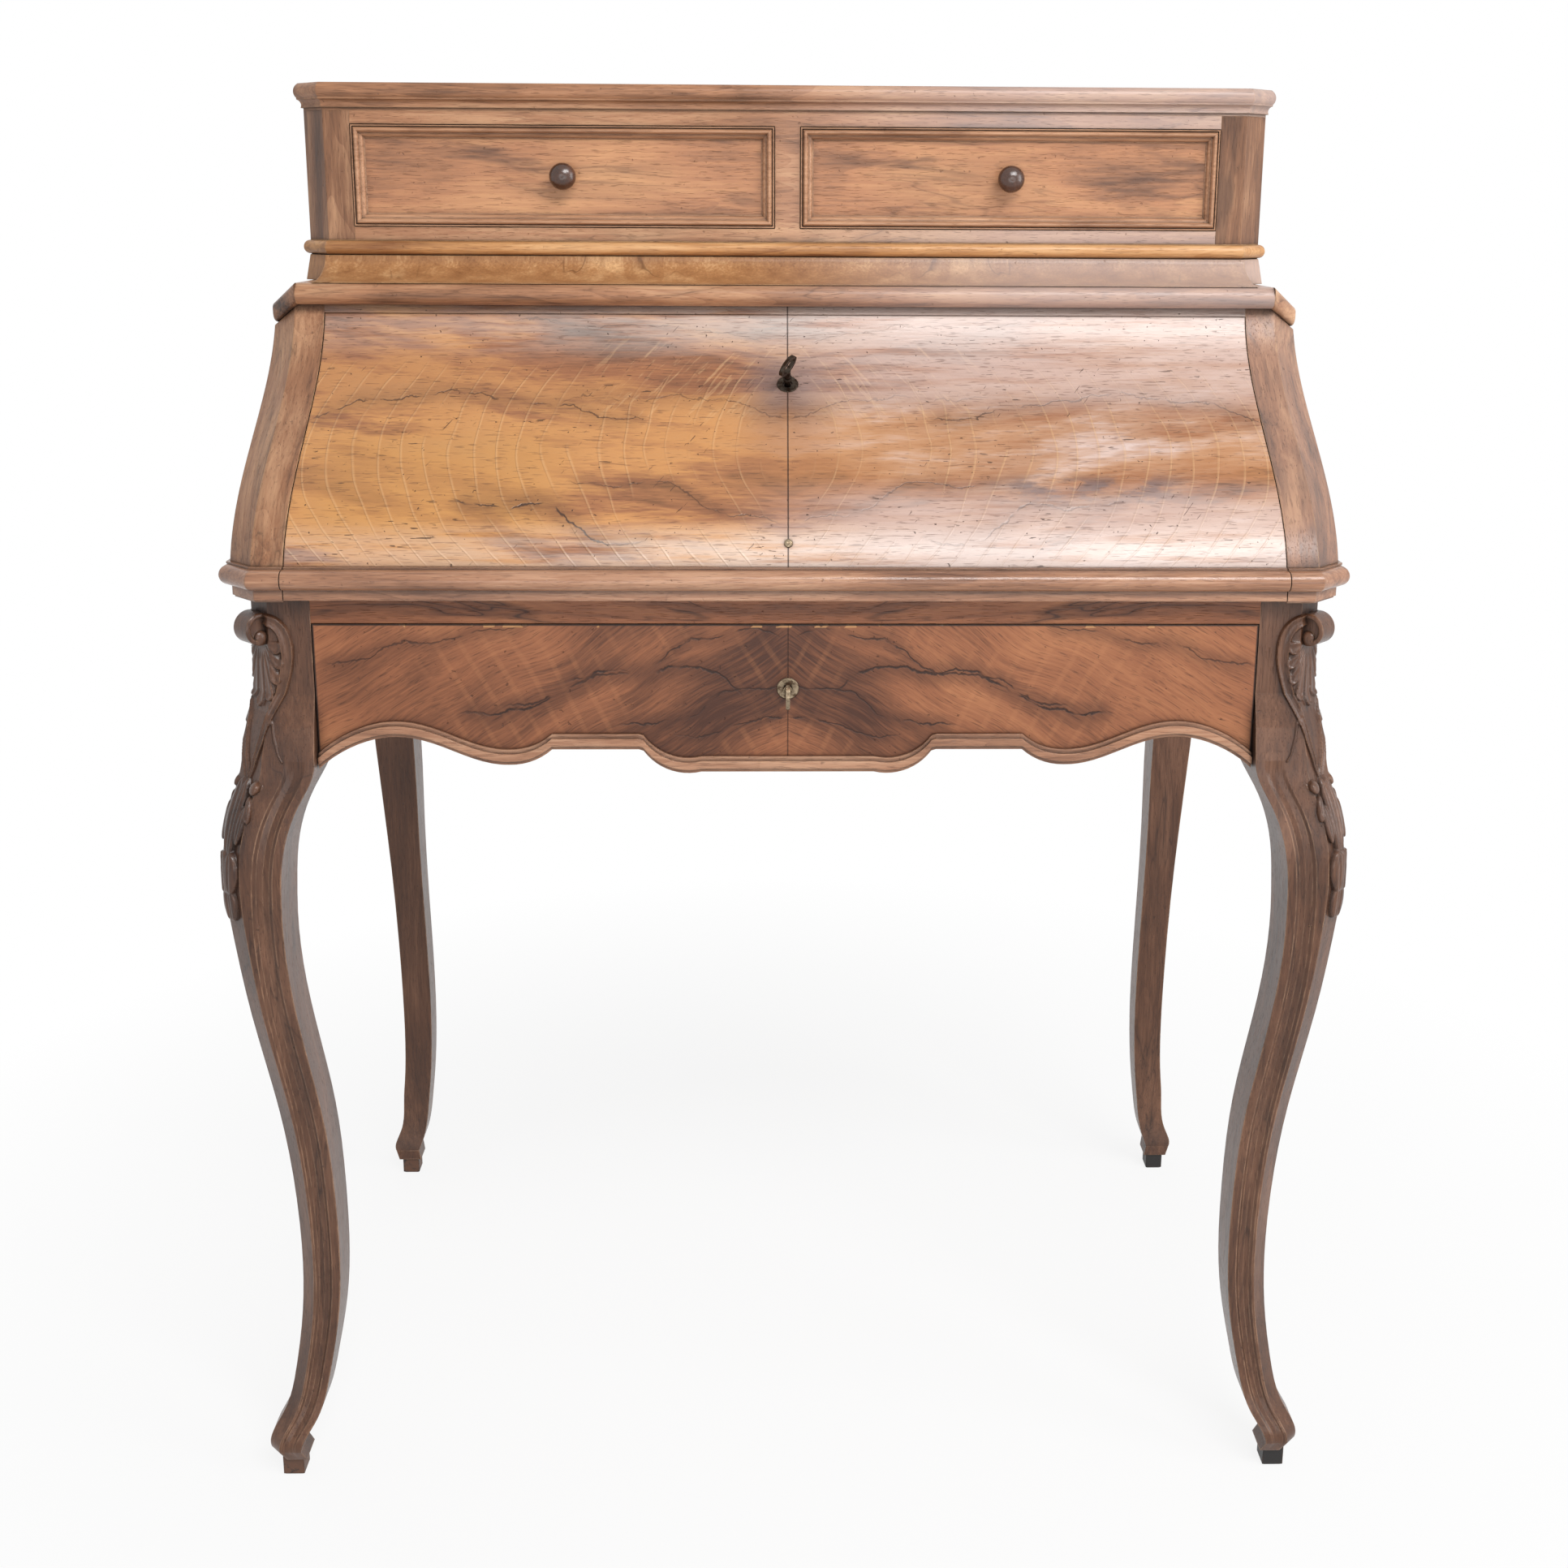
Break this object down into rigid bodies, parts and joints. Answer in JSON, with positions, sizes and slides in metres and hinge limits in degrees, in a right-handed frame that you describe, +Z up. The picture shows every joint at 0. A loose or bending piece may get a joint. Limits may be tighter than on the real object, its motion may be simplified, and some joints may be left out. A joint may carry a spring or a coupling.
{
  "type": "slant-front desk",
  "caption": "Slant-front writing desk on cabriole legs, with an S-curved falling front over pigeonholes, a shaped frieze drawer, and a low upper case with two drawers.",
  "frame": {"origin": "on the floor, below the centre of the desk's bounding box", "axes": "+Z up, the front faces -Y, +X to the right of someone facing the front"},
  "size_m": [0.8674, 0.5064, 1.1231],
  "materials": {
    "case_wood": "satin",
    "flap_veneer": "satin",
    "moulding_wood": "satin",
    "stand_wood": "satin",
    "frieze_veneer": "satin",
    "drawer_veneer": "satin",
    "inner_wood": "satin",
    "lining_wood": "matte",
    "black_wood": "matte",
    "knob_wood": "gloss",
    "leather": "matte",
    "iron": "satin",
    "brass": "satin"
  },
  "bodies": {
    "carcass": {"astragal": "moulding_wood", "back_apron": "stand_wood", "back_left_leg": "stand_wood", "back_right_leg": "stand_wood", "case_back": "lining_wood", "case_bottom": "lining_wood", "case_top": "case_wood", "cheeks": "inner_wood", "cove_frieze": "case_wood", "drawer_runners": "lining_wood", "foot_blocks": "black_wood", "front_left_leg": "stand_wood", "front_rail": "stand_wood", "front_right_leg": "stand_wood", "head_rail": "case_wood", "left_apron": "stand_wood", "left_base_moulding": "case_wood", "left_side": "case_wood", "left_stile": "case_wood", "pigeonholes": "inner_wood", "pivot_pins": "brass", "right_apron": "stand_wood", "right_base_moulding": "case_wood", "right_side": "case_wood", "right_stile": "case_wood", "shoulders": "case_wood", "top_board": "case_wood", "upper_back": "lining_wood", "upper_divider": "lining_wood", "upper_floor": "lining_wood", "upper_left_side": "case_wood", "upper_rails": "case_wood", "upper_right_side": "case_wood", "writing_bed": "inner_wood"},
    "falling_front": {"flap_board": "flap_veneer", "flap_moulding": "moulding_wood", "flap_leather": "leather", "flap_lock": "iron", "stay_lugs": "brass"},
    "case_stays": {"case_links": "brass"},
    "front_stays": {"flap_links": "brass"},
    "front_key": {"flap_key": "iron"},
    "front_bolt": {"flap_bolt": "iron"},
    "frieze_drawer": {"frieze_drawer_front": "frieze_veneer", "frieze_drawer_box": "lining_wood", "frieze_bead": "moulding_wood", "frieze_lock": "iron"},
    "drawer_key": {"frieze_key": "iron"},
    "drawer_bolt": {"frieze_bolt": "iron"},
    "upper_left_drawer": {"upper_left_drawer_front": "drawer_veneer", "upper_left_drawer_box": "lining_wood", "upper_left_knob": "knob_wood"},
    "upper_right_drawer": {"upper_right_drawer_front": "drawer_veneer", "upper_right_drawer_box": "lining_wood", "upper_right_knob": "knob_wood"},
    "small_drawer_1": {"small_drawer_1": "inner_wood"},
    "small_drawer_2": {"small_drawer_2": "inner_wood"},
    "small_drawer_3": {"small_drawer_3": "inner_wood"},
    "small_drawer_4": {"small_drawer_4": "inner_wood"}
  },
  "joints": [
    {"name": "front_fall", "type": "hinge", "parent": "carcass", "child": "falling_front", "pos_m": [0, -0.23971, 0.757], "axis": [1, 0, 0], "range_deg": [0, 135]},
    {"name": "case_stay_turn", "type": "hinge", "parent": "carcass", "child": "case_stays", "pos_m": [0, -0.09744, 0.785], "axis": [1, 0, 0], "range_deg": [0, 135]},
    {"name": "front_stay_turn", "type": "hinge", "parent": "falling_front", "child": "front_stays", "pos_m": [0, -0.12222, 0.84197], "axis": [1, 0, 0], "range_deg": [-135, 0]},
    {"name": "front_key_turn", "type": "hinge", "parent": "falling_front", "child": "front_key", "pos_m": [0, -0.09935, 0.88322], "axis": [0, -0.7071, 0.7071], "range_deg": [0, 180]},
    {"name": "front_bolt_throw", "type": "slide", "parent": "falling_front", "child": "front_bolt", "axis": [0, 0.7071, 0.7071], "range_m": [0, 0.008]},
    {"name": "frieze_drawer_slide", "type": "slide", "parent": "carcass", "child": "frieze_drawer", "axis": [0, -1, 0], "range_m": [0, 0.3]},
    {"name": "drawer_key_turn", "type": "hinge", "parent": "frieze_drawer", "child": "drawer_key", "pos_m": [0, -0.22021, 0.669], "axis": [0, -1, 0], "range_deg": [0, 180]},
    {"name": "drawer_bolt_throw", "type": "slide", "parent": "frieze_drawer", "child": "drawer_bolt", "axis": [0, 0, 1], "range_m": [0, 0.008]},
    {"name": "upper_left_drawer_slide", "type": "slide", "parent": "carcass", "child": "upper_left_drawer", "axis": [0, -1, 0], "range_m": [0, 0.15]},
    {"name": "upper_right_drawer_slide", "type": "slide", "parent": "carcass", "child": "upper_right_drawer", "axis": [0, -1, 0], "range_m": [0, 0.15]},
    {"name": "small_drawer_1_slide", "type": "slide", "parent": "carcass", "child": "small_drawer_1", "axis": [0, -1, 0], "range_m": [0, 0.12]},
    {"name": "small_drawer_2_slide", "type": "slide", "parent": "carcass", "child": "small_drawer_2", "axis": [0, -1, 0], "range_m": [0, 0.12]},
    {"name": "small_drawer_3_slide", "type": "slide", "parent": "carcass", "child": "small_drawer_3", "axis": [0, -1, 0], "range_m": [0, 0.12]},
    {"name": "small_drawer_4_slide", "type": "slide", "parent": "carcass", "child": "small_drawer_4", "axis": [0, -1, 0], "range_m": [0, 0.12]}
  ],
  "couplings": [
    {"joint": "case_stay_turn", "follows": "front_fall", "ratio": 1},
    {"joint": "front_stay_turn", "follows": "front_fall", "ratio": -1},
    {"joint": "front_bolt_throw", "follows": "front_key_turn", "m_per_rad": 0.0025439},
    {"joint": "drawer_bolt_throw", "follows": "drawer_key_turn", "m_per_rad": 0.0025439}
  ]
}
